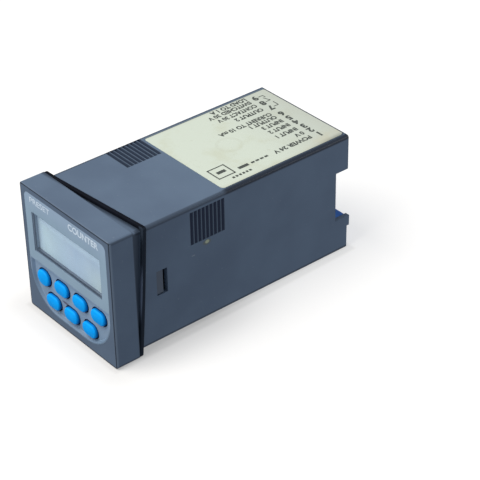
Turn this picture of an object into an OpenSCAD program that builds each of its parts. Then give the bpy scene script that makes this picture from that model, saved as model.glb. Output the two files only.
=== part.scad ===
// Panel-mounted digital counter with a 48 mm square front.
// Millimetres, Z up. X is to the right seen from the front and Y runs back into the panel.
// The origin is the centre of the cut-out, in the plane where the gasket meets the panel.

/* [Front] */
// Width and height of the front
face_w = 48; // [47:0.5:49]
// Depth of the bezel in front of the gasket
bezel_d = 9.1; // [9:0.1:9.8]
// Corner radius of the front
face_r = 1; // [0.8:0.1:1.5]
// Rounding of the front edge
edge_r = 0.4; // [0.3:0.1:0.7]
// Thickness of the rubber gasket
gasket_t = 1.4; // [1.2:0.1:1.8]
// Thickness of the printed foil
foil_t = 0.25; // [0.2:0.05:0.4]
// Thickness of the clear pane
pane_t = 0.8; // [0.6:0.1:1]

/* [Display] */
// Width of the display window
window_w = 36.6; // [34:0.1:36.8]
// Height of the display window
window_h = 14.7; // [12:0.1:15]
// Height of the window centre above the centre of the front
window_z = 7.7; // [7.5:0.1:8]
// Depth from the front to the display glass
window_d = 1.9; // [1.7:0.1:2]

/* [Keys] */
// Length of a key
key_l = 7.3; // [6.9:0.1:7.6]
// Height of a key
key_h = 4.8; // [4.4:0.1:5]
// Length of the rounder first key
first_l = 6.4; // [6.2:0.1:7]
// Height of the rounder first key
first_h = 5.6; // [5:0.1:5.8]
// Spacing of the keys along a row
key_pitch = 10; // [9.8:0.1:10.2]
// Upper row below the centre of the front
row_up = 8.6; // [8.4:0.1:8.8]
// Lower row below the centre of the front
row_low = 16.4; // [16.2:0.1:16.5]
// Upper row to the left of the centre of the front
shift_up = 0.2; // [0:0.1:0.4]
// Lower row to the left of the centre of the front
shift_low = 0.5; // [0:0.1:0.6]
// How far the keys stand in front of the bezel
key_proud = 0.45; // [0.3:0.05:0.7]
// Depth of the key tray below the front
tray_d = 1; // [0.9:0.05:1.2]
// Travel of a key when pressed
key_travel = 0.9; // [0.6:0.1:0.9]

/* [Housing] */
// Width and height of the housing
case_w = 44.8; // [44.4:0.1:44.9]
// Length of the housing behind the panel face
case_len = 89.3; // [86:0.1:92]
// Wall thickness of the housing
wall = 1.8; // [1.6:0.1:2]
// Rounding of the long edges
case_r = 0.9; // [0.6:0.1:1.4]
// Depth of the notch across the rear
notch_d = 5.4; // [5:0.1:6.5]
// Half height of the notch across the rear
notch_z = 9.5; // [9.3:0.1:9.6]
// Slots in each vent
vent_n = 9; // [5:1:9]
// Spacing of the vent slots
vent_pitch = 1.58; // [1.5:0.02:1.6]
// Width of a vent slot
vent_slot = 1.05; // [0.8:0.05:1.1]

/* [Terminals] */
// Spacing of the terminals
pole = 3.81; // [3.7:0.01:3.81]
// Poles of the first upper plug
poles_a = 6; // [5:1:6]
// Poles of the second upper plug
poles_b = 3; // [2:1:3]
// Poles of the lower plug
poles_c = 10; // [8:1:10]

/* [Hidden] */
$fn = 48;
gap = 0.3;
front = -bezel_d - gasket_t;
back = -gasket_t;
floor_y = front + tray_d;
tray_y = floor_y + 0.8;
flange_y = tray_y + 0.05;
board_y = front + 6.2;
board_t = 1.6;
case_y = board_y + board_t;
inner = case_w - 2 * wall;
glass_y = front + window_d + 0.05;
foil_w = 43.5;
foil_top = 21.75;
foil_low = -3.3;
tray_r = 14;
tray_x = foil_w / 2 - tray_r;
tray_z = -7;
tray_top = foil_low - 0.05;
pocket_y = case_len - 13.5;
plug_y = pocket_y + 0.2;
plug_end = case_len + 0.5;
plug_lo = notch_z + gap;
plug_hi = inner / 2 - gap;
pin_z = 15;
wire_z = 12.4;
screw_z = 17.6;
plug_ax = 6.1;
plug_bx = -12.9;
cheek = 1.35;
latch_y = 7.7;
vent_y = 21.8;
label_y = 36.6;
deck_z = 8.6;
deck_len = pocket_y - 4;

// Points of an arc about [cx, cz], from angle a0 to a1.
function arc(cx, cz, r, a0, a1, n) =
  [for (i = [0:n]) [cx + r * cos(a0 + (a1 - a0) * i / n), cz + r * sin(a0 + (a1 - a0) * i / n)]];

// Runs a front view outline along Y.
module along(y0, y1) {
  translate([0, y1, 0])
    rotate([90, 0, 0])
      linear_extrude(y1 - y0)
        children();
}

// A rectangular block from one corner to the other.
module block(a, b) {
  translate(a)
    cube(b - a);
}

// Rectangle with round corners.
module soft_square(w, h, r) {
  square([w - 2 * r, h], center = true);
  square([w, h - 2 * r], center = true);
  for (x = [-1, 1], z = [-1, 1])
    translate([x * (w / 2 - r), z * (h / 2 - r)])
      circle(r);
}

// Oblong with full round ends.
module oblong(l, h) {
  square([l - h, h], center = true);
  for (x = [-1, 1])
    translate([x * (l - h) / 2, 0])
      circle(h / 2);
}

// Outline of the key tray: square above, two wide arcs below.
module shield(inset, top) {
  polygon(concat(
    [[-tray_x - tray_r + inset, top], [tray_x + tray_r - inset, top]],
    arc(tray_x, tray_z, tray_r - inset, 0, -90, 18),
    arc(-tray_x, tray_z, tray_r - inset, -90, -180, 18)));
}

// Outline of the foil, with small round upper corners.
module foil_outline(grow) {
  w = foil_w / 2 + grow;
  polygon(concat(
    [[-w, foil_low - grow], [w, foil_low - grow]],
    arc(w - 2, foil_top + grow - 2, 2, 0, 90, 8),
    arc(-w + 2, foil_top + grow - 2, 2, 90, 180, 8)));
}

// Front edge rounding: distance out from a centre line against depth behind the front.
function rim(out, depth) = concat(
  [[0, 0]],
  [for (i = [0:6]) [out - edge_r + edge_r * sin(i * 15), edge_r - edge_r * cos(i * 15)]],
  [[out, depth], [0, depth]]);

// The square front block with round corners and a rounded front edge.
module face_block() {
  h = face_w / 2 - face_r;
  block([-h, front, -h], [h, back, h]);
  for (a = [0:90:270])
    rotate([0, a, 0])
      translate([0, front, 0]) {
        translate([h, 0, -h])
          linear_extrude(2 * h)
            polygon(rim(face_r, bezel_d));
        translate([h, 0, h])
          rotate([-90, 0, 0])
            rotate([0, 0, -90])
              rotate_extrude(angle = 90)
                polygon(rim(face_r, bezel_d));
      }
}

// One latch arm of the bezel on the right side, with its hook.
module latch_arm() {
  translate([0, 0, -4.3])
    linear_extrude(8.6)
      polygon([[19, board_y + 0.1], [22.6, board_y + 0.1], [22.6, case_y - 0.2], [20.2, case_y - 0.2],
        [20.2, latch_y + 0.2], [22.1, latch_y + 0.2], [22.1, latch_y + 2.7], [20.8, latch_y + 3.4],
        [20.2, latch_y + 3.9], [19, latch_y + 3.9]]);
}

// Front frame, moulded in one with its latch arms, board posts and tray collar.
module bezel() {
  color([0.28, 0.33, 0.4]) {
    difference() {
      union() {
        difference() {
          face_block();
          along(front + window_d, back + 1)
            soft_square(case_w + 0.3, case_w + 0.3, case_r + 0.2);
        }
        for (x = [-1, 1], z = [-1, 1])
          translate([x * 20.2, board_y, z * 20.2])
            rotate([90, 0, 0])
              cylinder(r = 1.7, h = board_y - front - window_d + 0.2);
        along(front + window_d - 0.2, tray_y + 0.9)
          shield(-0.7, tray_top + 0.7);
      }
      along(front - 1, front + foil_t)
        foil_outline(0.05);
      along(front - 1, front + foil_t + pane_t)
        translate([0, window_z])
          square([window_w + 2, window_h + 2], center = true);
      along(front - 1, front + window_d + 1)
        translate([0, window_z])
          square([window_w, window_h], center = true);
      along(front - 1, tray_y)
        shield(-0.05, tray_top + 0.05);
      along(front - 1, tray_y + 2)
        shield(0.3, tray_top - 0.3);
    }
    latch_arm();
    mirror([1, 0, 0])
      latch_arm();
  }
}

// One vent on the upper side of the housing, from its outer end at the left.
module vent(out) {
  for (i = [0:vent_n - 1])
    translate([-out, vent_y + i * vent_pitch, inner / 2 - 0.1])
      cube([12.1, vent_slot, wall + 3]);
}

// Pair of guide ribs for one circuit board, on the right wall.
module guide_ribs() {
  for (z = [deck_z - 1.2, deck_z + board_t + 0.2])
    block([inner / 2 - 1, 12, z], [inner / 2 + 0.5, pocket_y - 1, z + 1]);
}

// Space for one plug, with the slot for its pins.
module plug_pocket(x, n, end) {
  w = n * pole / 2 + end + gap;
  block([x - w, pocket_y, notch_z], [x + w, case_len + 5, inner / 2]);
  block([x - w + 1.6, pocket_y - 3, pin_z - 1.5], [x + w - 1.6, pocket_y + 1, pin_z + 1.5]);
}

// Moulded box, open at the front, with vents, latch windows and a stepped rear.
module housing() {
  color([0.28, 0.33, 0.4])
    difference() {
      union() {
        difference() {
          along(case_y, case_len)
            soft_square(case_w, case_w, case_r);
          along(case_y - 1, pocket_y - 1.6)
            square([inner, inner], center = true);
        }
        for (x = [0, 1], z = [0, 1])
          mirror([x, 0, 0])
            mirror([0, 0, z])
              guide_ribs();
        for (x = [-1, 1])
          translate([x * (case_w - wall) / 2, case_len, -notch_z - 1.95])
            cube([wall, 2.1, 3.9], center = true);
      }
      block([-inner / 2, pocket_y - 3, -notch_z + 1.6],
        [inner / 2, case_len - notch_d - 1.6, notch_z - 1.6]);
      block([-case_w, case_len - notch_d, -notch_z], [case_w, case_len + 5, notch_z]);
      plug_pocket(plug_ax, poles_a, 0.2);
      plug_pocket(plug_bx, poles_b, 0.2);
      mirror([0, 0, 1])
        plug_pocket(0, poles_c, cheek);
      for (a = [0:90:270])
        rotate([0, a, 0])
          vent(a % 180 == 0 ? 21.75 : 20.4);
      block([-case_w, latch_y, -4.7], [case_w, latch_y + 4.3, 4.5]);
    }
}

// Rubber ring between the bezel and the panel.
module panel_gasket() {
  color([0.05, 0.06, 0.08])
    along(back, 0)
      difference() {
        soft_square(face_w - 0.2, face_w - 0.2, face_r);
        soft_square(case_w + 0.4, case_w + 0.4, case_r + 0.2);
      }
}

// Printed foil on the upper part of the front.
module front_foil() {
  color([0.55, 0.63, 0.73])
    along(front, front + foil_t)
      difference() {
        foil_outline(0);
        translate([0, window_z])
          square([window_w, window_h], center = true);
      }
}

// Clear plate in the rebate under the foil.
module window_pane() {
  color([0.8, 0.86, 0.9, 0.4])
    along(front + foil_t, front + foil_t + pane_t)
      translate([0, window_z])
        square([window_w + 1.9, window_h + 1.9], center = true);
}

// Centre and size of a key: four above, the first of them rounder, and three below.
function key_x(i) = i < 5 ? (i - 2.5) * key_pitch - shift_up : (i - 6) * key_pitch - shift_low;
function key_z(i) = i == 1 ? -row_up - 0.6 : i < 5 ? -row_up : -row_low;
function long(i) = i == 1 ? first_l : key_l;
function tall(i) = i == 1 ? first_h : key_h;

// Dished tray round the keys, with a sloping rim and a square upper step.
module key_tray() {
  color([0.5, 0.57, 0.66])
    difference() {
      along(front, tray_y)
        shield(0, tray_top);
      difference() {
        hull() {
          along(front - 0.5, front - 0.4)
            shield(0.15, tray_top + 2);
          along(floor_y - 0.01, floor_y)
            shield(1.15, tray_top + 2);
        }
        block([-30, front - 2, tray_top - 0.35], [30, floor_y + 2, 30]);
      }
      for (i = [1:7])
        along(floor_y - 0.5, tray_y + 1)
          translate([key_x(i), key_z(i)])
            oblong(long(i) + 1, tall(i) + 1);
    }
}

// Half section of a key: a straight wall, a round shoulder and a slightly crowned top.
function key_section(half, high, r) = concat(
  [[0, 0], [half, 0]],
  [for (a = [0:15:75]) [half - r + r * cos(a), high - 0.2 - r + r * sin(a)]],
  [for (i = [3:-1:0]) [(half - r) * i / 3, high - 0.2 * pow(i / 3, 2)]]);

// One key with its flange and foot.
module key(i) {
  half = tall(i) / 2;
  e = (long(i) - tall(i)) / 2;
  high = flange_y - front + key_proud;
  section = key_section(half, high, 0.7);
  color([0, 0.55, 0.95])
    translate([key_x(i), flange_y, key_z(i)])
      rotate([90, 0, 0]) {
        for (s = [0, 180])
          rotate([0, 0, s])
            translate([e, 0, 0])
              rotate([0, 0, -90])
                rotate_extrude(angle = 180)
                  polygon(section);
        translate([-e, 0, 0])
          rotate([90, 0, 90])
            linear_extrude(2 * e)
              union() {
                polygon(section);
                mirror([1, 0])
                  polygon(section);
              }
        translate([0, 0, -0.7])
          linear_extrude(0.7)
            oblong(long(i) + 1.4, tall(i) + 1.4);
        translate([0, 0, flange_y - board_y + key_travel + 0.1])
          cylinder(r = 1.9, h = board_y - flange_y - key_travel - 0.4);
      }
}

module key_1() { key(1); }
module key_2() { key(2); }
module key_3() { key(3); }
module key_4() { key(4); }
module key_5() { key(5); }
module key_6() { key(6); }
module key_7() { key(7); }

// Silicone sheet on the display board, with a springy skirt under each key.
module keypad_mat() {
  color([0.75, 0.77, 0.8])
    difference() {
      union() {
        along(board_y - 0.8, board_y)
          shield(0.8, tray_top - 0.6);
        for (i = [1:7])
          translate([key_x(i), board_y - 0.8, key_z(i)])
            rotate([90, 0, 0])
              rotate_extrude()
                polygon([[2.55, -0.3], [3.05, -0.3], [3.05, 0], [2.7, board_y - flange_y - 1.55],
                  [2.25, board_y - flange_y - 1.55], [2.55, 0]]);
      }
      for (i = [1:7])
        translate([key_x(i), board_y + 1, key_z(i)])
          rotate([90, 0, 0])
            cylinder(r = 2.4, h = 2.2);
    }
}

// Blank display glass behind the window.
module display_glass() {
  color([0.62, 0.68, 0.66])
    along(glass_y, glass_y + 2.2)
      translate([0, window_z])
        square([38, 17.8], center = true);
}

// Frame that holds the glass and the contact strips in front of the display board.
module display_holder() {
  color([0.85, 0.86, 0.84])
    difference() {
      along(glass_y, board_y)
        translate([0, window_z])
          square([40.4, 20], center = true);
      along(glass_y - 1, glass_y + 2.25)
        translate([0, window_z])
          square([38.2, 18], center = true);
      along(glass_y, board_y + 1)
        for (z = [-7.4, 7.4])
          translate([0, window_z + z])
            square([37, 2.2], center = true);
      along(glass_y, board_y + 1)
        translate([0, window_z])
          square([35, 10.4], center = true);
    }
}

// Two rubber contact strips between the glass and the display board.
module contact_strips() {
  color([0.2, 0.2, 0.22])
    along(glass_y + 2.2, board_y)
      for (z = [-7.4, 7.4])
        translate([0, window_z + z])
          square([36.8, 2], center = true);
}

// Display board with a recess on each side for the latch arms.
module display_board() {
  color([0.1, 0.35, 0.2])
    along(board_y, board_y + board_t)
      difference() {
        square([43, 43], center = true);
        for (x = [-1, 1])
          translate([x * 21, 0])
            square([4.6, 9.2], center = true);
      }
}

// One circuit board with the holes for its terminal pins.
module deck() {
  color([0.1, 0.35, 0.2])
    difference() {
      block([-20.1, 1.5, deck_z], [20.1, deck_len + 1.5, deck_z + board_t]);
      children();
    }
}

// Holes for the pin legs of one header.
module leg_holes(x, n) {
  for (i = [0:n - 1])
    translate([x + (i - (n - 1) / 2) * pole, deck_len - 5.6, deck_z - 1])
      cylinder(d = 1.5, h = 4);
}

module upper_board() {
  deck() {
    leg_holes(plug_ax, poles_a);
    leg_holes(plug_bx, poles_b);
  }
}

module lower_board() {
  mirror([0, 0, 1])
    deck()
      leg_holes(0, poles_c);
}

// Link strip from a circuit board to the display board.
module link_strip() {
  color([0.1, 0.1, 0.11])
    difference() {
      block([-10.2, case_y, deck_z + board_t], [10.2, 6, deck_z + board_t + 2.5]);
      for (i = [0:7])
        translate([-8.9 + i * 2.54, 4.4, deck_z + board_t + 1.6])
          cube([1, 3, 2], center = true);
    }
}

module upper_link() { link_strip(); }

module lower_link() {
  mirror([0, 0, 1])
    link_strip();
}

// Bent pins of one header, each a separate piece.
module pin_row(x, n, grow) {
  for (i = [0:n - 1])
    translate([x + (i - (n - 1) / 2) * pole, 0, 0]) {
      block([-0.4 - grow, deck_len - 6 - grow, deck_z - 1 - grow],
        [0.4 + grow, deck_len - 5.2 + grow, pin_z + 0.4 + grow]);
      block([-0.4 - grow, deck_len - 6, pin_z - 0.4 - grow],
        [0.4 + grow, plug_y + 6, pin_z + 0.4 + grow]);
    }
}

// Body of one terminal header on its circuit board.
module header(x, n) {
  w = n * pole / 2;
  color([0.1, 0.12, 0.14])
    difference() {
      block([x - w, deck_len - 8, deck_z + board_t], [x + w, pocket_y - 1.7, pin_z + 3]);
      pin_row(x, n, 0.05);
    }
}

module header_a() { header(plug_ax, poles_a); }
module header_b() { header(plug_bx, poles_b); }

module header_c() {
  mirror([0, 0, 1])
    header(0, poles_c);
}

module pins_a() {
  color([0.8, 0.8, 0.78])
    pin_row(plug_ax, poles_a, 0);
}

module pins_b() {
  color([0.8, 0.8, 0.78])
    pin_row(plug_bx, poles_b, 0);
}

module pins_c() {
  color([0.8, 0.8, 0.78])
    mirror([0, 0, 1])
      pin_row(0, poles_c, 0);
}

// Plug-in terminal block: contact holes in front, wire entries and screw wells behind.
module plug(x, n, end) {
  w = n * pole / 2 + end;
  color([0.05, 0.3, 0.65])
    difference() {
      block([x - w, plug_y, plug_lo], [x + w, plug_end, plug_hi]);
      for (i = [0:n - 1])
        translate([x + (i - (n - 1) / 2) * pole, 0, 0]) {
          block([-0.7, plug_y - 1, pin_z - 0.7], [0.7, plug_y + 6.6, pin_z + 0.7]);
          block([-1.3, plug_end - 7.5, wire_z - 1.5], [1.3, plug_end + 1, wire_z + 1.5]);
          translate([0, plug_end + 1, screw_z])
            rotate([90, 0, 0])
              cylinder(r = 1.45, h = 7.8);
        }
    }
}

module plug_a() { plug(plug_ax, poles_a, 0.2); }
module plug_b() { plug(plug_bx, poles_b, 0.2); }

module plug_c() {
  mirror([0, 0, 1])
    plug(0, poles_c, cheek);
}

// Clamp cages in the wire entries, each a separate piece.
module clamp_row(x, n) {
  color([0.75, 0.65, 0.4])
    for (i = [0:n - 1])
      translate([x + (i - (n - 1) / 2) * pole, 0, wire_z])
        difference() {
          block([-1.2, plug_end - 6.5, -1.4], [1.2, plug_end - 1, 1.4]);
          block([-0.85, plug_end - 8, -1.05], [0.85, plug_end, 1.05]);
        }
}

module clamps_a() { clamp_row(plug_ax, poles_a); }
module clamps_b() { clamp_row(plug_bx, poles_b); }

module clamps_c() {
  mirror([0, 0, 1])
    clamp_row(0, poles_c);
}

// Slotted terminal screws, each a separate piece.
module screw_row(x, n) {
  color([0.75, 0.75, 0.74])
    for (i = [0:n - 1])
      translate([x + (i - (n - 1) / 2) * pole, plug_end - 1, screw_z])
        difference() {
          rotate([90, 0, 0])
            cylinder(r = 1.3, h = 5.5);
          rotate([0, 25, 0])
            block([-2, -0.7, -0.25], [2, 1, 0.25]);
        }
}

module screws_a() { screw_row(plug_ax, poles_a); }
module screws_b() { screw_row(plug_bx, poles_b); }

module screws_c() {
  mirror([0, 0, 1])
    screw_row(0, poles_c);
}

// Square processor under the upper board, with one cut corner.
module processor() {
  color([0.12, 0.12, 0.13])
    translate([0, 30, deck_z - 4.3])
      linear_extrude(4.3)
        polygon([[-8.3, -8.3], [8.3, -8.3], [8.3, 8.3], [-7.1, 8.3], [-8.3, 7.1]]);
}

// Memory chip beside the processor.
module memory_chip() {
  color([0.12, 0.12, 0.13])
    block([11.4, 26, deck_z - 3.4], [17.8, 35.6, deck_z]);
}

// Three optocouplers on the upper board, each a separate piece.
module optocouplers() {
  color([0.9, 0.9, 0.88])
    for (x = [-3, 6, 15])
      block([x - 2.3, 48, deck_z + board_t], [x + 2.3, 54.5, deck_z + board_t + 3.5]);
}

// Flat can crystal beside the processor.
module crystal() {
  color([0.78, 0.78, 0.77])
    translate([-13.5, 30, deck_z - 3.6])
      linear_extrude(3.6)
        rotate(90)
          oblong(11, 4.7);
}

// Round capacitor with a groove and a crimped rim.
module capacitor(d, h) {
  color([0.12, 0.14, 0.2])
    rotate_extrude()
      polygon([[0, 0], [d / 2, 0], [d / 2, 1], [d / 2 - 0.4, 1.5], [d / 2, 2], [d / 2, h - 0.5],
        [d / 2 - 0.5, h], [0, h]]);
}

module input_capacitor() {
  translate([-11.5, 20, -deck_z])
    capacitor(10, 11);
}

module output_capacitor() {
  translate([0, 20, -deck_z])
    capacitor(8, 10);
}

// Drum choke.
module choke() {
  color([0.25, 0.24, 0.24])
    translate([11.5, 20, -deck_z])
      rotate_extrude()
        polygon([[0, 0], [5, 0], [5, 1.4], [3.6, 1.4], [3.6, 6.6], [5, 6.6], [5, 8], [0, 8]]);
}

// Relay on the lower board.
module relay(x) {
  color([0.9, 0.55, 0.15])
    translate([x, 0, -deck_z])
      rotate([90, 0, 0])
        translate([0, 0, -62])
          linear_extrude(20)
            polygon([[-5, 0], [5, 0], [5, 9.8], [4.4, 10.4], [-4.4, 10.4], [-5, 9.8]]);
}

module relay_1() { relay(-9); }
module relay_2() { relay(9); }

// Adhesive label on top of the housing.
module rating_label() {
  color([0.85, 0.87, 0.8])
    translate([0, (label_y + case_len - 0.2) / 2, case_w / 2])
      linear_extrude(0.12)
        soft_square(41.4, case_len - 0.2 - label_y, 1.5);
}

housing();
bezel();
panel_gasket();
front_foil();
window_pane();
key_tray();
key_1();
key_2();
key_3();
key_4();
key_5();
key_6();
key_7();
keypad_mat();
display_glass();
display_holder();
contact_strips();
display_board();
upper_board();
lower_board();
upper_link();
lower_link();
header_a();
header_b();
header_c();
pins_a();
pins_b();
pins_c();
plug_a();
plug_b();
plug_c();
clamps_a();
clamps_b();
clamps_c();
screws_a();
screws_b();
screws_c();
processor();
memory_chip();
optocouplers();
crystal();
input_capacitor();
output_capacitor();
choke();
relay_1();
relay_2();
rating_label();
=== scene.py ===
import math

import bpy
import numpy as np
from mathutils import Matrix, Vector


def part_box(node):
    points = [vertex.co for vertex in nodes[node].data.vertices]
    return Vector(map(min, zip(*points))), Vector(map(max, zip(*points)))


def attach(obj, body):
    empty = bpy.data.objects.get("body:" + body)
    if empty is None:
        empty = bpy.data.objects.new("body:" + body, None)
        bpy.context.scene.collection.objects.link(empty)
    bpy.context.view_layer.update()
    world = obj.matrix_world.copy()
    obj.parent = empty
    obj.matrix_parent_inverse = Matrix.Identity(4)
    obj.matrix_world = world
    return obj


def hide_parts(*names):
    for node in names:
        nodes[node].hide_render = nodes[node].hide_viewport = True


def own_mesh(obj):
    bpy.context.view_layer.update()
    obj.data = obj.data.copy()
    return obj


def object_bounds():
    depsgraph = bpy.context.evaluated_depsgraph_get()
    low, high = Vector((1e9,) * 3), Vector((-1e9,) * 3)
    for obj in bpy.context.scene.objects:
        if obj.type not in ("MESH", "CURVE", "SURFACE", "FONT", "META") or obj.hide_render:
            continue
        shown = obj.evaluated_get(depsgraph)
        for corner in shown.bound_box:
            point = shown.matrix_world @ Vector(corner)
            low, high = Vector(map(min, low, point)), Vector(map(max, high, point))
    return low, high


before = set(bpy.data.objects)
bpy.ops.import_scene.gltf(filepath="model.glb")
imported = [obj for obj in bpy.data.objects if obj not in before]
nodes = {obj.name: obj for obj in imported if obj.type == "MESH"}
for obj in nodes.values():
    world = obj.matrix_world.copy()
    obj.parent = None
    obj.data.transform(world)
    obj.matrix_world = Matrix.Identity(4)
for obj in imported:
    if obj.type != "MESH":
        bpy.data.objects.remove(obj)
cad_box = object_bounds()


# Housing and bezel.
# Two injection mouldings in slate grey-blue plastic with a fine eroded skin from the mould.
# The bezel carries the front and snaps into the open end of the housing on two latch arms.

class Sock:
    """A shader socket. Operators on it add Math nodes, and node() adds a node of any other type."""

    def __init__(self, tree, socket):
        self.tree = tree
        self.socket = socket

    def node(self, kind, settings=None, sockets=None, out=0):
        """Adds a node: its settings first, then the values or links of its sockets. Returns one output."""
        made = self.tree.nodes.new("ShaderNode" + kind)
        for key, value in (settings or {}).items():
            setattr(made, key, value)
        for key, value in (sockets or {}).items():
            if isinstance(value, Sock):
                self.tree.links.new(value.socket, made.inputs[key])
            else:
                made.inputs[key].default_value = value
        return Sock(self.tree, made.outputs[out])

    def math(self, operation, *values):
        """Adds a Math node with those values in its sockets."""
        return self.node("Math", {"operation": operation}, dict(enumerate(values)))

    def __add__(self, other):
        return self.math("ADD", self, other)

    def __sub__(self, other):
        return self.math("SUBTRACT", self, other)

    def __rsub__(self, other):
        return self.math("SUBTRACT", other, self)

    def __mul__(self, other):
        return self.math("MULTIPLY", self, other)

    def __truediv__(self, other):
        return self.math("DIVIDE", self, other)

    __radd__ = __add__
    __rmul__ = __mul__

    def __abs__(self):
        return self.math("ABSOLUTE", self)

    def most(self, other):
        """The larger of two values."""
        return self.math("MAXIMUM", self, other)

    def fraction(self):
        """What is left of a value above its whole number."""
        return self.math("FRACT", self)

    def root(self):
        """The square root."""
        return self.math("SQRT", self)

    def rise(self, low, high):
        """A smooth step from 0 at low to 1 at high, or down where low is above high."""
        return self.node("MapRange", {"interpolation_type": "SMOOTHSTEP"}, {0: self, 1: low, 2: high})

    def beyond(self, edge, soft):
        """0 before an edge and 1 past it, with a smooth step that reaches a soft width to either side."""
        return self.rise(edge - soft, edge + soft)

    def within(self, edge, soft):
        """1 before an edge and 0 past it, with a smooth step that reaches a soft width to either side."""
        return self.rise(edge + soft, edge - soft)

    def span(self, start, end, soft):
        """1 between two edges and 0 outside them, with smooth steps."""
        return self.beyond(start, soft) * self.within(end, soft)

    def blend(self, first, second):
        """The first colour where this value is 0 and the second where it is 1."""
        return self.node("Mix", {"data_type": "RGBA"}, {0: self, 6: first, 7: second}, 2)

    def noise(self, scale, detail=2.0, rough=0.5):
        """Noise over this vector, with that many lumps to a millimetre."""
        sockets = {"Vector": self, "Scale": scale, "Detail": detail, "Roughness": rough}
        return self.node("TexNoise", None, sockets)

    def bump(self, strength, depth):
        """The surface's normal with this value as its height, which is that many metres deep."""
        return self.node("Bump", None, {"Strength": strength, "Distance": depth, "Height": self})

    def axes(self):
        """The three numbers of this vector."""
        return [self.node("SeparateXYZ", None, {0: self}, i) for i in range(3)]


def patch(first, second, at, size):
    """1 inside an ellipse of that size about a point of two axes, fading to 0 at its edge."""
    a = (first - at[0]) / size[0]
    b = (second - at[1]) / size[1]
    return (a * a + b * b).rise(1.0, 0.35)


def colour(red, green, blue):
    """A colour of the screen, 0 to 255, as the linear colour that the shader takes."""
    screen = np.array([red, green, blue]) / 255.0
    linear = np.where(screen <= 0.04045, screen / 12.92, ((screen + 0.055) / 1.055) ** 2.4)
    return (*(float(v) for v in linear), 1.0)


def marked(tone, *marks):
    """Lays marks on a tone, one over the other. A mark is where it lies, how strong it is, and its colour."""
    for where, strength, shade in marks:
        tone = (where * strength).blend(tone, colour(*shade))
    return tone


def new_finish(name, fixed):
    """A material with those fixed values.
    Returns it, its shader, and its object's coordinates in millimetres."""
    finish = bpy.data.materials.new(name)
    finish.use_nodes = True
    tree = finish.node_tree
    shader = tree.nodes["Principled BSDF"]
    for key, value in fixed.items():
        shader.inputs[key].default_value = value
    place = Sock(tree, tree.nodes.new("ShaderNodeTexCoord").outputs["Object"])
    return finish, shader, place.node("VectorMath", {"operation": "SCALE"}, {0: place, "Scale": 1000.0})


def feed(shader, links):
    """Links the values that change over the surface to the shader's sockets."""
    for key, value in links.items():
        value.tree.links.new(value.socket, shader.inputs[key])


def paint(finish, *names):
    """Puts a finish on every material slot of those solids."""
    for name in names:
        for place in nodes[name].material_slots:
            place.material = finish


def box_mm(name):
    """A solid's lowest and highest corners, in millimetres."""
    return [[float(v) * 1000.0 for v in corner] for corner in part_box(name)]


black = colour(0, 0, 0)

# Half widths and places in millimetres. The window and the first slot are where the solids have them.
case_half = box_mm("housing")[1][0]
bezel_half = box_mm("bezel")[1][0]
bezel_front = box_mm("bezel")[0][1]
bezel_rear = box_mm("panel_gasket")[0][1]
label_low, label_high = box_mm("rating_label")
label_half, label_front, label_rear = label_high[0], label_low[1], label_high[1]
window_middle, window_half_wide, window_half_tall, window_floor = 7.7, 18.3, 7.35, -8.35
vent_start, vent_end = 21.6, 35.7
first_slot, vent_pitch = 21.8, 1.58

# The middle of the strip after a slot, as a part of the pitch.
strip_middle = 0.832

# How far the loose gasket leans back for each millimetre to the right, and for each one up.
ring_tilt_right, ring_tilt_up = 0.09, 0.08

slate, shader, mm = new_finish("slate_moulding", {"Specular IOR Level": 0.3, "Emission Strength": 1.0})
across, along, up = mm.axes()
cloud = mm.noise(0.045, 3.0)
grain = mm.noise(4.2, 2.0, 0.6)
dust = mm.noise(0.9, 1.0).rise(0.72, 0.80)
outer = abs(across).most(abs(up))
diagonal = abs(across) + abs(up)
on_bezel = along.within(bezel_rear, 0.1)
behind_panel = along.beyond(0.6, 0.2)
right_wall = across.beyond(case_half - 0.125, 0.075)

# Edges of the two mouldings, with painted shade as dark lines along them and a painted highlight on the
# front's side edges.
shaded_long_edge = diagonal.beyond(2.0 * case_half - 1.2, 0.3) * behind_panel
shaded_rim = outer.beyond(bezel_half - 0.55, 0.07) * outer.within(bezel_half - 0.16, 0.06)
shaded_rim = shaded_rim * along.within(bezel_front + 0.275, 0.075)
shaded_bezel_corners = abs(across).beyond(bezel_half - 0.25, 0.15) * abs(up).beyond(bezel_half - 1.05, 0.35)
shaded_bezel_corners = shaded_bezel_corners * on_bezel
highlit_front_edge = abs(across).beyond(bezel_half - 0.1, 0.05) * along.within(bezel_front + 0.7, 0.4)
shaded_bottom_edge = up.within(0.65 - bezel_half, 0.35) * on_bezel
shaded_bottom_edge = shaded_bottom_edge.most(up.within(0.65 - case_half, 0.35) * behind_panel)
shaded_rear_edge = along.beyond(bezel_rear - 0.275, 0.175) * outer.beyond(bezel_half - 1.0, 0.2)
shaded_rear_edge = shaded_rear_edge * (0.6 - up.beyond(bezel_half - 0.85, 0.35) * 0.4)

# The well of the window, with its ends painted pale as painted light where shade falls, and its sill painted
# a little darker as painted shade.
well = abs(across).within(window_half_wide + 0.2, 0.1) * along.within(window_floor, 0.15)
well = well * abs(up - window_middle).within(window_half_tall + 0.25, 0.1)
lit_well_ends = well * abs(across).beyond(window_half_wide - 0.8, 0.5)
shaded_well_sill = well * up.within(window_middle - window_half_tall + 0.3, 0.15)

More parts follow.
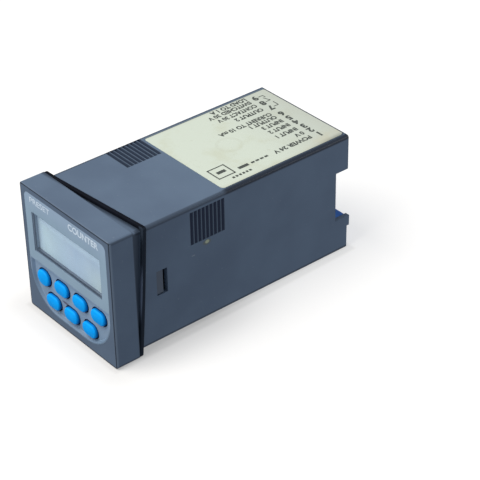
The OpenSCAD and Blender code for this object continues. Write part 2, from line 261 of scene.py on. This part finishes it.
# Vents: painted shade in the slots, with a faint painted glow, and on the strips of wall between them,
# darkest at their edges. Fold is how far across its own wall a point is.
vents = along.span(vent_start, vent_end, 0.1)
shaded_slots = vents * outer.within(case_half - 0.145, 0.105) * diagonal.within(2.0 * case_half - 1.1, 0.2)
fold = across * up / case_half
on_top = abs(up).beyond(case_half - 0.1, 0.05) * fold.span(-21.8, -9.6, 0.1)
on_side = abs(across).beyond(case_half - 0.1, 0.05) * fold.span(8.3, 20.4, 0.1)
shaded_strips = vents * (on_top + on_side)
in_pitch = ((along - first_slot) / vent_pitch).fraction()
shaded_strip_edges = shaded_strips * abs(in_pitch - strip_middle).beyond(0.105, 0.025)

# Painted shade: the ends of the latch arms in their windows a little darker and greyer, and a dark band
# beside the label.
shaded_hook = abs(across).beyond(case_half - 0.7, 0.2) * abs(across).within(case_half - 0.2, 0.05)
shaded_hook = shaded_hook * along.beyond(7.85, 0.05) * along.within(10.75, 0.25) * abs(up).within(4.6, 0.1)
shade_beside_label = across.beyond(label_half + 0.2, 0.3).most(along.beyond(label_rear - 0.075, 0.125))
shade_beside_label = shade_beside_label * along.beyond(label_front - 0.35, 1.25) * up.beyond(case_half - 1.2, 0.5)

# Shade round the loose gasket: under it on top, then behind it and in the gap before it on the right.
from_ring = along - 0.36 - across * ring_tilt_right
under_ring = from_ring.beyond(-0.8, 0.7) * from_ring.within(1.3, 0.1) * up.beyond(case_half - 0.2, 0.1)
from_ring = along - (2.0 + up * ring_tilt_up - up * up * 0.00075)
behind_ring = from_ring.beyond(-0.35, 0.25) * from_ring.within(0.75, 0.55) * right_wall
ring_gap = along.beyond(-1.45, 0.15) * from_ring.within(-1.25, 0.25) * right_wall

# A stain with its halo below the right vent, and a nick nearer the front.
stain_halo = patch(along, up, (28.2, 6.9), (2.0, 1.2)) * right_wall
stain = patch(along, up, (28.3, 7.0), (1.0, 0.75)) * right_wall
nick = patch(along, up, (22.6, 4.1), (0.9, 0.22)) * right_wall

# Most marks here are painted shade or light; the dust, the stain with its halo, and the nick are the
# moulding's own.
tone = marked(
    cloud.rise(0.3, 0.7).blend(colour(83, 98, 117), colour(90, 106, 125)),
    (shaded_long_edge, 0.65, (44, 53, 66)),
    (shaded_rim, 0.9, (22, 27, 36)),
    (lit_well_ends, 1.0, (150, 167, 185)),
    (shaded_well_sill, 1.0, (84, 96, 112)),
    (shaded_slots, 0.9, (42, 52, 66)),
    (shaded_strips, 0.3, (40, 48, 60)),
    (shaded_strip_edges, 0.75, (34, 41, 52)),
    (shaded_hook, 1.0, (82, 90, 102)),
    (shade_beside_label, 0.9, (29, 36, 48)),
    (dust, 0.10, (170, 176, 180)),
    (under_ring, 0.75, (34, 42, 54)),
    (behind_ring, 0.45, (28, 34, 44)),
    (ring_gap, 0.55, (28, 36, 48)),
    (shaded_bezel_corners, 0.5, (34, 42, 54)),
    (highlit_front_edge, 0.9, (116, 130, 147)),
    (shaded_bottom_edge, 0.7, (20, 25, 32)),
    (shaded_rear_edge, 1.0, (38, 46, 58)),
    (stain_halo, 0.5, (98, 98, 76)),
    (stain, 0.75, (176, 182, 150)),
    (nick, 0.5, (150, 156, 162)),
)
feed(shader, {
    "Base Color": tone,
    # Painted light: a faint glow in the vent slots.
    "Emission Color": shaded_slots.blend(black, colour(25, 29, 41)),
    "Roughness": 0.42 + cloud * 0.10 + dust * 0.1,
    "Normal": grain.bump(strength=0.12, depth=0.00004),
})
paint(slate, "housing", "bezel")


# Panel gasket.
# A flat ring punched from black rubber sheet, pushed over the housing against the bezel to seal the panel.
# It is loose, and has slid back at its upper right corner.

def add_piece(name, points, faces, finish):
    """Makes an object at the origin from points in millimetres and faces of their numbers."""
    mesh = bpy.data.meshes.new(name)
    mesh.from_pydata((points * 0.001).tolist(), [], faces.tolist())
    mesh.materials.append(finish)
    made = bpy.data.objects.new(name, mesh)
    bpy.context.collection.objects.link(made)
    return made


def ring_quads(count, edge):
    """The faces of a grid that closes both ways: count sections round a path, with edge points each."""
    number = np.arange(count * edge).reshape(count, edge)
    ahead = np.roll(number, -1, axis=0)
    quads = np.stack([number, ahead, np.roll(ahead, -1, axis=1), np.roll(number, -1, axis=1)], -1)
    return quads.reshape(-1, 4)


def square_ring(outer, inner, front, back, corner, soft, lift, bend=9, straight=12, least=0.25):
    """A bar of rectangular section, its edges eased, carried round a square with round corners.
    Round the path the point is sign * (half - radius) + normal * radius, and lift bends it back.
    A corner has bend points, and a side has straight points between its corners.
    Further in, the corner's radius is smaller, but no smaller than least."""
    corners = np.array([[1, 1], [-1, 1], [-1, -1], [1, -1]], float)
    turn = np.radians(np.arange(4)[:, None] * 90.0 + np.linspace(0.0, 90.0, bend))
    fan = np.stack([np.cos(turn), np.sin(turn)], -1)
    side = np.linspace(0.0, 1.0, straight + 2)[1:-1, None]
    runs = corners[:, None] + (np.roll(corners, -1, axis=0) - corners)[:, None] * side
    sign = np.concatenate([np.repeat(corners[:, None], bend, axis=1), runs], axis=1).reshape(-1, 2)
    normal = np.concatenate([fan, np.repeat(fan[:, -1:], straight, axis=1)], axis=1).reshape(-1, 2)
    ease = np.radians(np.linspace(0.0, 90.0, 4))
    middle = np.array([[outer - soft, back - soft], [inner + soft, back - soft],
                       [inner + soft, front + soft], [outer - soft, front + soft]])
    swing = np.arange(4)[:, None] * math.pi / 2 + ease
    section = middle[:, None] + soft * np.stack([np.cos(swing), np.sin(swing)], -1)
    half, depth = section.reshape(-1, 2)[::-1].T
    radius = np.maximum(corner - (outer - half), least)
    spots = sign[:, None] * (half - radius)[None, :, None] + normal[:, None] * radius[None, :, None]
    x, z = spots[..., 0], spots[..., 1]
    y = depth[None, :] + lift(x, z)
    return np.stack([x, y, z], -1).reshape(-1, 3), ring_quads(*x.shape)


ring_outer, ring_inner, ring_front, ring_rear = 23.9, 22.65, -1.4, -0.1
ring_corner, ring_edge = 1.0, 0.25


def lifted_corner(x, z, half=ring_outer, bow=0.25, ease=0.2):
    """How far the ring has slid back: a slope that is held at 0 at the lower left, where the ring touches
    the bezel, and rises to the upper right corner, with a bow along the right side."""
    slope = ring_tilt_right * x + ring_tilt_up * z - 0.1
    bowed = bow * (1.0 - (z / half) ** 2) * np.clip(x / half, 0.0, 1.0) ** 2
    return (slope + np.sqrt(slope * slope + ease * ease)) / 2 + bowed


rubber, shader, mm = new_finish("black_rubber", {"Specular IOR Level": 0.08})
across, _, up = mm.axes()
cloud = mm.noise(0.12, 3.0)
grain = mm.noise(5.0, 2.0, 0.6)
# Painted light on the ring: its left and right sides paler, its face towards the bezel on the right paler
# still, with a pale painted sheen in the middle of that side.
facing = mm.node("NewGeometry", out="Normal").axes()
lit_face_to_bezel = facing[1].rise(-0.5, -0.9) * across.rise(21.5, 22.4)
tone = marked(
    cloud.rise(0.3, 0.7).blend(colour(9, 12, 20), colour(15, 19, 29)),
    (abs(facing[0]).rise(0.3, 0.8), 1.0, (31, 38, 48)),
    (lit_face_to_bezel, 0.8, (48, 57, 69)),
    (lit_face_to_bezel * abs(up).rise(12.0, 3.0), 0.7, (126, 140, 164)),
)
feed(shader, {
    "Base Color": tone,
    "Roughness": 0.72 + (grain - 0.5) * 0.1,
    "Normal": grain.bump(strength=0.15, depth=0.00005),
})
ring_shape = square_ring(ring_outer, ring_inner, ring_front, ring_rear, ring_corner, ring_edge, lifted_corner)
ring = add_piece("gasket_ring", *ring_shape, rubber)
ring.data.polygons.foreach_set("use_smooth", np.ones(len(ring.data.polygons), bool))
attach(ring, "counter")
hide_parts("panel_gasket")
paint(rubber, "panel_gasket", "contact_strips")


# Display board and display holder.
# A green glass-fibre board carries the display in a white frame, with the keys below it.
# It sits on four posts inside the bezel, and the housing presses on its edge.

def plain_finish(name, low, high, rough, lumps, depth):
    """A plain moulded or cast finish: two near tones in clouds, and a grain of lumps to a millimetre."""
    finish, shader, mm = new_finish(name, {})
    cloud = mm.noise(0.12, 3.0)
    grain = mm.noise(lumps, 2.0, 0.6)
    feed(shader, {
        "Base Color": cloud.rise(0.3, 0.7).blend(colour(*low), colour(*high)),
        "Roughness": rough + (cloud - 0.5) * 0.12 + (grain - 0.5) * 0.06,
        "Normal": grain.bump(0.15, depth),
    })
    return finish


# Green solder mask over copper: the tracks show as lighter lines, broken up by noise.
laminate, shader, mm = new_finish("green_laminate", {"Coat Weight": 0.3, "Coat Roughness": 0.2})
across, along, up = mm.axes()
lines = ((across + along + up) * 0.8).fraction()
tracks = abs(lines - 0.5).rise(0.30, 0.36) * mm.noise(0.11, 1.0).rise(0.45, 0.5)
feed(shader, {
    "Base Color": tracks.blend(colour(22, 84, 52), colour(52, 122, 78)),
    "Roughness": 0.38 + tracks * 0.08,
    "Normal": tracks.bump(strength=0.3, depth=0.00003),
})
white_moulding = plain_finish(
    "white_moulding", (214, 216, 210), (222, 224, 218), rough=0.5, lumps=3.0, depth=0.00003)
paint(laminate, "display_board", "upper_board", "lower_board")
paint(white_moulding, "display_holder", "optocouplers")


# Keypad mat.
# A sheet of grey silicone on the display board, moulded with a springy skirt under each key.
# It is made as seven pads that meet edge to edge, one round each key.

def mat_pad(centre, low, high, corner, depths, skirt=(3.05, 2.7, 2.25, 2.55), hole=2.4, turns=72):
    """The part of the mat round one key: a section of pairs (radius, depth) carried round the key's centre.
    It goes from the pad's edge over the skirt to the hole, and back under the pad.
    The edge is the nearest side of the cell along a ray, or the mat's round corner where that is nearer.
    Corner is the middle and the radius of that round corner.
    Skirt is four radii: the skirt's outer foot, the two edges of its top, and its inner foot."""
    back, face, top = depths
    cell_turns = [math.atan2(z - centre[1], x - centre[0])
                  for x in (low[0], high[0]) for z in (low[1], high[1])]
    even_turns = (np.arange(turns) + 0.5) * 2 * math.pi / turns - math.pi
    turn = np.sort(np.concatenate([even_turns, cell_turns]))
    ray = np.stack([np.cos(turn), np.sin(turn)], -1)
    edge = np.where(ray > 0, high, low)
    reach = ((edge - centre) / ray).min(axis=1)
    hit = centre + reach[:, None] * ray
    pivot = np.stack([np.sign(hit[:, 0]) * corner[0], np.full(len(hit), corner[1])], -1)
    offset = centre - pivot
    along_ray = (offset * ray).sum(axis=1)
    inside = along_ray ** 2 - (offset ** 2).sum(axis=1) + corner[2] ** 2
    arc = np.sqrt(np.maximum(inside, 0.0)) - along_ray
    rounded = (abs(hit[:, 0]) > corner[0]) & (hit[:, 1] < corner[1])
    reach = np.where(rounded, np.minimum(reach, arc), reach)
    depth = np.array([back, face, face, top, top, face, face, back])
    radius = np.array([0.0, 0.0, *skirt, hole, hole]) + reach[:, None] * (np.arange(len(depth)) < 2)
    x, z = (centre[i] + radius * ray[:, i:i + 1] for i in (0, 1))
    y = np.broadcast_to(depth, x.shape)
    return np.stack([x, y, z], -1).reshape(-1, 3), ring_quads(*x.shape)


silicone = plain_finish(
    "grey_silicone", (196, 202, 206), (206, 211, 215), rough=0.6, lumps=3.0, depth=0.00003)
paint(silicone, "keypad_mat")
key_nodes = ["key_%d" % i for i in range(1, 8)]
key_middle = {name: np.mean(box_mm(name), axis=0)[[0, 2]] for name in key_nodes}
mat_low, mat_high = box_mm("keypad_mat")
mat_top, mat_back = mat_low[1], mat_high[1]
mat_sheet, mat_round = 0.8, 13.2
mat_depths = (mat_back, mat_back - mat_sheet, mat_top)
mat_corner = (mat_high[0] - mat_round, mat_low[2] + mat_round, mat_round)
between_rows = -12.5
rows = ((key_nodes[:4], between_rows, mat_high[2]), (key_nodes[4:], mat_low[2], between_rows))
for row, bottom, top in rows:
    middle = [key_middle[name][0] for name in row]
    sides = [mat_low[0], *((a + b) / 2 for a, b in zip(middle, middle[1:])), mat_high[0]]
    for name, left, right in zip(row, sides, sides[1:]):
        cell_low, cell_high = np.array([left, bottom]), np.array([right, top])
        pad_shape = mat_pad(key_middle[name], cell_low, cell_high, mat_corner, mat_depths)
        pad = add_piece("mat_pad_" + name[-1], *pad_shape, silicone)
        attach(pad, "counter")
        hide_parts("keypad_mat")
        name + "_press"
        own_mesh(pad)


# Parts on the two circuit boards.
# Black moulded chips and strips, a bright crystal can, sleeved capacitors, a ferrite choke and amber relays.
# They are soldered between the boards, out of sight.

def metal_finish(name, low, high, rough):
    """Bare or plated metal with fine brushing along one axis and clouds of tarnish."""
    finish, shader, mm = new_finish(name, {"Metallic": 1.0})
    cloud = mm.noise(0.6, 3.0)
    stretched = mm.node("VectorMath", {"operation": "MULTIPLY"}, {0: mm, 1: (9.0, 0.6, 9.0)})
    brushing = stretched.noise(1.0, 2.0)
    feed(shader, {
        "Base Color": cloud.rise(0.35, 0.7).blend(colour(*high), colour(*low)),
        "Roughness": rough + (brushing - 0.5) * 0.2,
    })
    return finish


black_moulding = plain_finish(
    "black_moulding", (26, 26, 28), (34, 34, 37), rough=0.5, lumps=4.0, depth=0.00004)
tinned = metal_finish("tinned_pins", (176, 176, 170), (205, 205, 200), rough=0.3)
bright_can = metal_finish("bright_can", (190, 190, 188), (214, 214, 212), rough=0.25)
sleeve = plain_finish(
    "capacitor_sleeve", (26, 30, 48), (33, 38, 58), rough=0.3, lumps=2.0, depth=0.00002)
ferrite = plain_finish(
    "grey_ferrite", (58, 56, 56), (72, 70, 70), rough=0.65, lumps=5.0, depth=0.00006)
amber = plain_finish(
    "amber_relay", (214, 128, 44), (226, 142, 56), rough=0.3, lumps=2.0, depth=0.00002)
paint(black_moulding, "processor", "memory_chip", "upper_link", "lower_link")
paint(black_moulding, "header_a", "header_b", "header_c")
paint(tinned, "pins_a", "pins_b", "pins_c")
paint(bright_can, "crystal")
paint(sleeve, "input_capacitor", "output_capacitor")
paint(ferrite, "choke")
paint(amber, "relay_1", "relay_2")


# Terminal plugs.
# Blue moulded blocks that push on to the pins at the rear, each pole with a brass clamp and a slotted screw.
# Wires enter beside the screws.

blue_moulding = plain_finish(
    "blue_moulding", (8, 94, 178), (14, 104, 192), rough=0.4, lumps=4.0, depth=0.00003)
brass = metal_finish("clamp_brass", (150, 122, 62), (196, 168, 98), rough=0.35)
zinc = metal_finish("zinc_screws", (160, 162, 160), (198, 200, 198), rough=0.32)
paint(blue_moulding, "plug_a", "plug_b", "plug_c")
paint(brass, "clamps_a", "clamps_b", "clamps_c")
paint(zinc, "screws_a", "screws_b", "screws_c")


# Display.
# A reflective liquid crystal glass, switched off, so it is blank.
# It lies behind a clear pane in the window of the bezel.

off_display, shader, mm = new_finish("blank_display", {"Coat Weight": 0.3, "Coat Roughness": 0.15})
across, _, up = mm.axes()
cloud = mm.noise(0.05, 2.0)
fine = mm.noise(2.5, 1.0)
# Painted light along the top and the left of the display, where the walls of the well shade it.
lit_top_and_left = up.rise(9.6, 12.2).most(across.rise(-14.0, -17.5) * 0.6)
tone = marked(
    across.rise(-16.0, 4.0).blend(colour(200, 225, 233), colour(184, 207, 229)),
    (across.rise(2.0, 18.0) * up.rise(12.0, 2.0), 0.8, (201, 219, 210)),
    (cloud.rise(0.35, 0.7), 0.3, (188, 211, 226)),
    (lit_top_and_left, 1.0, (212, 236, 252)),
)
feed(shader, {"Base Color": tone, "Roughness": 0.40 + fine * 0.08})
paint(off_display, "display_glass")

clear, shader, mm = new_finish("clear_pane", {
    "Roughness": 0.08, "Specular IOR Level": 0.4, "Emission Strength": 1.0})
across, _, up = mm.axes()
smear = mm.noise(0.16, 3.0)
# The pane's rim beyond the window is opaque and glows faintly: painted light for the wall of the well seen
# through it.
glowing_rim = abs(across).beyond(window_half_wide + 0.06, 0.04)
glowing_rim = glowing_rim.most(abs(up - window_middle).beyond(window_half_tall + 0.06, 0.04))
tone = smear.rise(0.3, 0.7).blend(colour(176, 196, 212), colour(196, 212, 224))
feed(shader, {
    "Base Color": glowing_rim.blend(tone, colour(30, 36, 44)),
    "Emission Color": glowing_rim.blend(black, colour(98, 112, 129)),
    "Alpha": 0.06 + smear.rise(0.45, 0.75) * 0.04 + glowing_rim * 0.94,
})
paint(clear, "window_pane")


# Front foil and key tray.
# The foil is satin film printed pale blue-grey, with two white words, and glued round the window.
# The tray is a dished moulding of the same colour, set in below it, with a hole for each key.

foil, shader, mm = new_finish("pale_foil", {"Specular IOR Level": 0.35})
across, _, up = mm.axes()
cloud = mm.noise(0.08, 3.0)
weave = mm.noise(6.0, 2.0, 0.6)
opening = abs(across).within(window_half_wide + 0.05, 0.03)
opening = opening * abs(up - window_middle).within(window_half_tall + 0.05, 0.03)
tone = marked(
    cloud.rise(0.3, 0.7).blend(colour(138, 161, 178), colour(144, 167, 184)),
    (up.rise(14.0, 21.0), 0.5, (152, 170, 194)),
    (opening, 1.0, (94, 109, 127)),
)
feed(shader, {
    "Base Color": tone,
    "Roughness": 0.42 + (weave - 0.5) * 0.1,
    "Normal": weave.bump(strength=0.12, depth=0.00001),
})
paint(foil, "front_foil")

tray, shader, mm = new_finish("pale_tray", {"Specular IOR Level": 0.3})
across, along, up = mm.axes()
cloud = mm.noise(0.12, 3.0)
grain = mm.noise(5.0, 2.0, 0.6)
# Darker towards the bottom. Painted shade on the dish's sloping wall, and a dark reddish streak of painted
# shade between the rows of keys.
shaded_dish_wall = along.within(bezel_front + 0.85, 0.1) * up.rise(-6.0, -12.0)
shadow_streak = patch(across, up, (-4.1, -13.75), (2.6, 0.55))
tone = marked(
    cloud.rise(0.3, 0.7).blend(colour(133, 154, 175), colour(140, 161, 182)),
    (up.rise(-11.0, -20.0), 0.6, (104, 127, 149)),
    (shaded_dish_wall, 0.75, (98, 118, 138)),
    (shadow_streak, 0.75, (74, 44, 62)),
)
feed(shader, {
    "Base Color": tone,
    "Roughness": 0.45 + (grain - 0.5) * 0.06,
    "Normal": grain.bump(strength=0.15, depth=0.00002),
})
paint(tray, "key_tray")


def letters(text, tall, wide=None, weight=0.0):
    """Flat letters of the built-in face, scaled to the height of a capital, and to a width if one is given.
    Weight thickens the strokes. Gives their points (along, up) from the start of the line, and triangles."""
    curve = bpy.data.curves.new("letters", "FONT")
    curve.body = text
    curve.resolution_u = 4
    curve.offset = weight
    holder = bpy.data.objects.new("letters", curve)
    bpy.context.collection.objects.link(holder)
    mesh = holder.evaluated_get(bpy.context.evaluated_depsgraph_get()).to_mesh()
    mesh.calc_loop_triangles()
    points = np.empty(3 * len(mesh.vertices), np.float32)
    mesh.vertices.foreach_get("co", points)
    corners = np.empty(3 * len(mesh.loop_triangles), np.int32)
    mesh.loop_triangles.foreach_get("vertices", corners)
    bpy.data.objects.remove(holder)
    bpy.data.curves.remove(curve)
    points = points.reshape(-1, 3)[:, :2].astype(float)
    points[:, 0] -= points[:, 0].min()
    points *= tall / points[:, 1].max()
    if wide:
        points[:, 0] *= wide / points[:, 0].max()
    return points, corners.reshape(-1, 3)


ink_thick = 0.02


def printed(name, parts, origin, right, top, ink):
    """Flat print: each part's points (along, up) put on a plane, and given a film's thickness."""
    base = np.cumsum([0] + [len(points) for points, corners in parts])
    flat = np.concatenate([points for points, corners in parts])
    faces = np.concatenate([corners + start for (points, corners), start in zip(parts, base)])
    place = np.array(origin, float) + flat[:, :1] * np.array(right) + flat[:, 1:] * np.array(top)
    made = add_piece(name, place, faces, ink)
    film = made.modifiers.new("film", "SOLIDIFY")
    film.thickness = ink_thick * 0.001
    film.offset = -1.0
    return made


def moved(part, along, up):
    """A part of the print moved to its place on the plane."""
    return part[0] + np.array([along, up]), part[1]


white_ink = plain_finish(
    "white_ink", (206, 218, 228), (216, 227, 236), rough=0.5, lumps=3.0, depth=0.00001)
foil_parts = [
    moved(letters("PRESET", tall=2.0, wide=11.0), -18.8, 18.6),
    moved(letters("COUNTER", tall=2.3, wide=15.8, weight=0.02), 2.2, 18.5),
]
foil_face = (0.0, bezel_front - ink_thick, 0.0)
words = printed("foil_words", foil_parts, foil_face, (1.0, 0.0, 0.0), (0.0, 0.0, 1.0), white_ink)
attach(words, "counter")


# Keys.
# Six oblong keys and a rounder first one, moulded in bright azure, each with a pillow top.
# They come up through the tray and are pushed back by the mat under them.

key_front = box_mm("key_1")[0][1]
azure, shader, mm = new_finish("azure_keys", {"Specular IOR Level": 0.1})
along = mm.axes()[1]
cloud = mm.noise(0.25, 2.0)
grain = mm.noise(4.0, 2.0, 0.6)
# Painted shade: the walls of each key darken with depth, to near black down in the tray's hole.
tone = marked(
    cloud.rise(0.3, 0.7).blend(colour(0, 156, 240), colour(0, 163, 247)),
    (along.rise(key_front + 0.25, key_front + 1.15), 1.0, (0, 122, 204)),
    (along.rise(key_front + 1.2, key_front + 1.6), 1.0, (12, 46, 92)),
)
feed(shader, {
    "Base Color": tone,
    "Roughness": 0.58 + (grain - 0.5) * 0.1,
    "Normal": grain.bump(strength=0.12, depth=0.00002),
})
paint(azure, *key_nodes)


# Rating label.
# A matt cream film, glued on top of the housing, a little stained.
# Its print is plain: numbers for the terminals, short words and grey lines.

film, shader, mm = new_finish("cream_film", {"Specular IOR Level": 0.3})
across, along, _ = mm.axes()
cloud = mm.noise(0.09, 4.0, 0.6).rise(0.5, 0.72)
soil = mm.noise(0.5, 3.0).rise(0.62, 0.8)
edge = abs(across).beyond(label_half - 1.0, 0.9).most(along.beyond(label_rear - 2.35, 2.75))
ring_stain = abs(patch(across, along, (1.0, 55.5), (5.2, 5.2)) - 0.5).rise(0.5, 0.2)
browned = along.rise(66.0, 84.0) * across.rise(12.0, 19.5) * mm.noise(0.2, 3.0).rise(0.3, 0.65)
worn = across.rise(18.4, 20.8) * along.rise(72.0, 88.0)
label_round = 2.1
aside = (abs(across) - (label_half - label_round)).most(0.0)
behind = (along - (label_rear - label_round)).most(0.0)
border = (aside * aside + behind * behind).rise(3.6, 4.6).most(along.beyond(label_rear - 0.4, 0.1))
left_border = across.within(0.525 - label_half, 0.075)
tone = marked(
    cloud.blend(colour(199, 206, 191), colour(194, 199, 180)),
    (edge, 0.4, (186, 186, 166)),
    (along.rise(58.0, 90.0), 0.6, (178, 182, 172)),
    (soil * 0.22 + ring_stain * 0.1, 1.0, (164, 160, 138)),
    (browned, 0.35, (188, 176, 142)),
    (worn, 0.6, (108, 113, 106)),
    (border, 1.0, (52, 60, 71)),
    (left_border, 1.0, (99, 110, 115)),
)
feed(shader, {"Base Color": tone, "Roughness": 0.55 + soil * 0.15})
paint(film, "rating_label")


def bar(start, end, wide):
    """A straight printed line between two points (along, up): its ends set off by half its width."""
    start, end = np.array(start, float), np.array(end, float)
    step = end - start
    off = np.array([-step[1], step[0]]) / np.hypot(*step) * wide / 2
    return np.array([start - off, end - off, end + off, start + off]), np.array([[0, 1, 2], [0, 2, 3]])


def dashes(start, up, count, pitch, length, wide):
    """A row of short printed bars, a pitch apart."""
    return [bar((start + i * pitch, up), (start + i * pitch + length, up), wide) for i in range(count)]


grey_ink = plain_finish(
    "grey_ink", (62, 66, 62), (80, 84, 78), rough=0.6, lumps=3.0, depth=0.00001)
number_places = (15.3, 11.5, 8.0, 4.2, 0.6, -3.2, -8.6, -12.8, -17.0)
number_line, number_half, word_line, word_half = -83.0, 1.3, -79.2, 1.0
numbers = [moved(letters(str(i + 1), tall=2.8, weight=0.05), number_line, x - number_half)
           for i, x in enumerate(number_places)]
line_words = (
    ("POWER 24 V", 16.0, 14.8), ("0 V", 3.8, 11.2), ("INPUT 1", 8.8, 7.7), ("INPUT 2", 8.8, 4.0),
    ("INPUT 3", 8.8, 0.5), ("OUTPUT 1", 11.4, -2.7), ("CURRENT TO 10 mA", 22.5, -5.3),
    ("OUTPUT 2", 12.0, -9.7), ("CONTACT 30 V", 17.0, -13.0), ("SWITCHED 30 V", 18.5, -16.0),
    ("LOAD TO 1 A", 15.5, -18.6),
)
word_lines = [moved(letters(word, tall=2.05, wide=wide, weight=0.045), word_line, x - word_half)
              for word, wide, x in line_words]
contact_out, contact_in, contact_line = -85.4, -83.4, 0.35
contact = []
for level, end in ((-8.7, (-85.4, -11.4)), (-12.9, (-84.4, -15.6)), (-17.0, (-85.4, -15.4))):
    contact.append(bar((contact_out, level), (contact_in, level), contact_line))
    contact.append(bar((contact_out, level), end, contact_line))
frame_left, frame_right, frame_low, frame_high, frame_line = -45.9, -39.4, 9.4, 15.6, 0.5
frame_box = [bar((frame_left, z), (frame_right, z), frame_line) for z in (frame_low, frame_high)]
frame_box += [bar((x, frame_low - frame_line / 2), (x, frame_high + frame_line / 2), frame_line)
              for x in (frame_left, frame_right)]
frame_box.append(bar((-44.4, 12.5), (-40.9, 12.5), 1.5))
small = dashes(-51.0, 17.7, count=6, pitch=1.4, length=0.9, wide=1.0)
small += dashes(-60.6, 14.6, count=4, pitch=1.9, length=1.4, wide=0.9)
small.append(bar((-52.4, 14.5), (-48.2, 14.5), 1.4))
label_parts = numbers + word_lines + contact + frame_box + small
label_face = (0.0, 0.0, label_high[2] + ink_thick)
print_marks = printed("label_print", label_parts, label_face, (0.0, -1.0, 0.0), (1.0, 0.0, 0.0), grey_ink)
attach(print_marks, "counter")


# Camera.
# A long lens above and to the right of the front, at the photograph's viewing angle.
# Its place is in metres of the part's own frame, and its length in pixels of the picture.

azimuth, elevation, roll = (math.radians(v) for v in (50.578, 33.79, -1.026))
lens_place = np.array([0.379622, -0.251849, 0.311039])
focal_pixels, picture_pixels, sensor = 1718.94, 480.0, 36.0
back = np.array([
    math.sin(azimuth) * math.cos(elevation),
    -math.cos(azimuth) * math.cos(elevation),
    math.sin(elevation),
])
right = np.cross(-back, (0.0, 0.0, 1.0))
right /= np.linalg.norm(right)
top = np.cross(right, -back)
turned_right = math.cos(roll) * right + math.sin(roll) * top
turned_top = math.cos(roll) * top - math.sin(roll) * right
lens = bpy.data.cameras.new("camera")
lens.sensor_width = sensor
lens.lens = focal_pixels * sensor / picture_pixels
lens.clip_start = 0.01
camera = bpy.data.objects.new("camera", lens)
bpy.context.collection.objects.link(camera)


def stand(placed, right, top, back, place):
    """Puts an object at a place, with its own axes along those three directions."""
    pose = np.eye(4)
    pose[:3] = np.stack([right, top, back, place], -1)
    placed.matrix_world = Matrix(pose.tolist())


stand(camera, turned_right, turned_top, back, lens_place)
bpy.context.scene.camera = camera


# Floor and light.
# A plain white sheet that touches the part under its bezel and at its rear, as it lies on a table.
# A large soft light is overhead at the front left, a small one behind at the right, and weak light all round.

def sheet(half, points):
    """A flat square sheet that slopes evenly through two points (along, up), in metres."""
    (near, low), (far, high) = points
    side = np.linspace(-half, half, 3)
    x, y = np.meshgrid(side, side, indexing="ij")
    z = low + (y - near) * (high - low) / (far - near)
    corner = np.arange(x.size).reshape(x.shape)
    quads = np.stack([corner[:-1, :-1], corner[1:, :-1], corner[1:, 1:], corner[:-1, 1:]], -1)
    mesh = bpy.data.meshes.new("floor")
    mesh.from_pydata(np.stack([x, y, z], -1).reshape(-1, 3).tolist(), [], quads.reshape(-1, 4).tolist())
    return mesh


under_bezel, under_rear = (-0.0018, -0.02402), (0.0889, -0.02242)
floor = bpy.data.objects.new("floor", sheet(2.0, (under_bezel, under_rear)))
bpy.context.collection.objects.link(floor)
floor_white, shader, mm = new_finish("floor_white", {
    "Roughness": 0.8, "Specular IOR Level": 0.0, "Emission Strength": 0.62})
across, along, _ = mm.axes()
foot_low, foot_high = ([float(v) * 1000.0 for v in corner] for corner in cad_box)
aside = (abs(across) - foot_high[0]).most(0.0)
ahead = (foot_low[1] - along).most(along - foot_high[1]).most(0.0)
away = (aside * aside + ahead * ahead).root()
# Painted shadow in the floor's glow: a wide soft one round the part's foot, fading towards the rear, and a
# narrow one where it touches.
halo_reach, contact_reach = 24.0, 2.0
shadow_halo = away.rise(halo_reach, 0.0) * along.rise(75.0, 25.0)
shade = shadow_halo * shadow_halo * 0.3 + away.rise(contact_reach, 0.0) * 0.15
feed(shader, {
    "Base Color": mm.noise(0.002, 1.0).blend((0.401, 0.39, 0.375, 1.0), (0.416, 0.405, 0.39, 1.0)),
    "Emission Color": shade.blend(colour(255, 255, 255), black),
})
floor.data.materials.append(floor_white)
floor.visible_diffuse = False
floor.visible_glossy = False

world = bpy.data.worlds.new("studio")
world.use_nodes = True
world.node_tree.nodes["Background"].inputs["Color"].default_value = (1.1, 1.2, 1.35, 1.0)
world.node_tree.nodes["Background"].inputs["Strength"].default_value = 0.3
bpy.context.scene.world = world


def soft_light(name, place, aim, size, power, tint):
    """A square area light at a place, turned to face a point."""
    lamp = bpy.data.lights.new(name, "AREA")
    lamp.size = size
    lamp.energy = power
    lamp.color = tint
    holder = bpy.data.objects.new(name, lamp)
    bpy.context.collection.objects.link(holder)
    away = np.array(place, float) - np.array(aim, float)
    away /= np.linalg.norm(away)
    side = np.cross((0.0, 1.0, 0.0), away)
    side /= np.linalg.norm(side)
    stand(holder, side, np.cross(away, side), away, np.array(place, float))
    holder.visible_camera = False


soft_light("overhead", place=(-0.25, -0.55, 0.9), aim=(0.0, 0.04, 0.0),
           size=0.9, power=16.0, tint=(0.97, 0.95, 0.92))
soft_light("far_side", place=(0.18, 0.24, 0.07), aim=(0.02, 0.07, 0.0),
           size=0.12, power=0.16, tint=(1.0, 1.0, 1.0))
bpy.context.scene.view_settings.view_transform = "Standard"
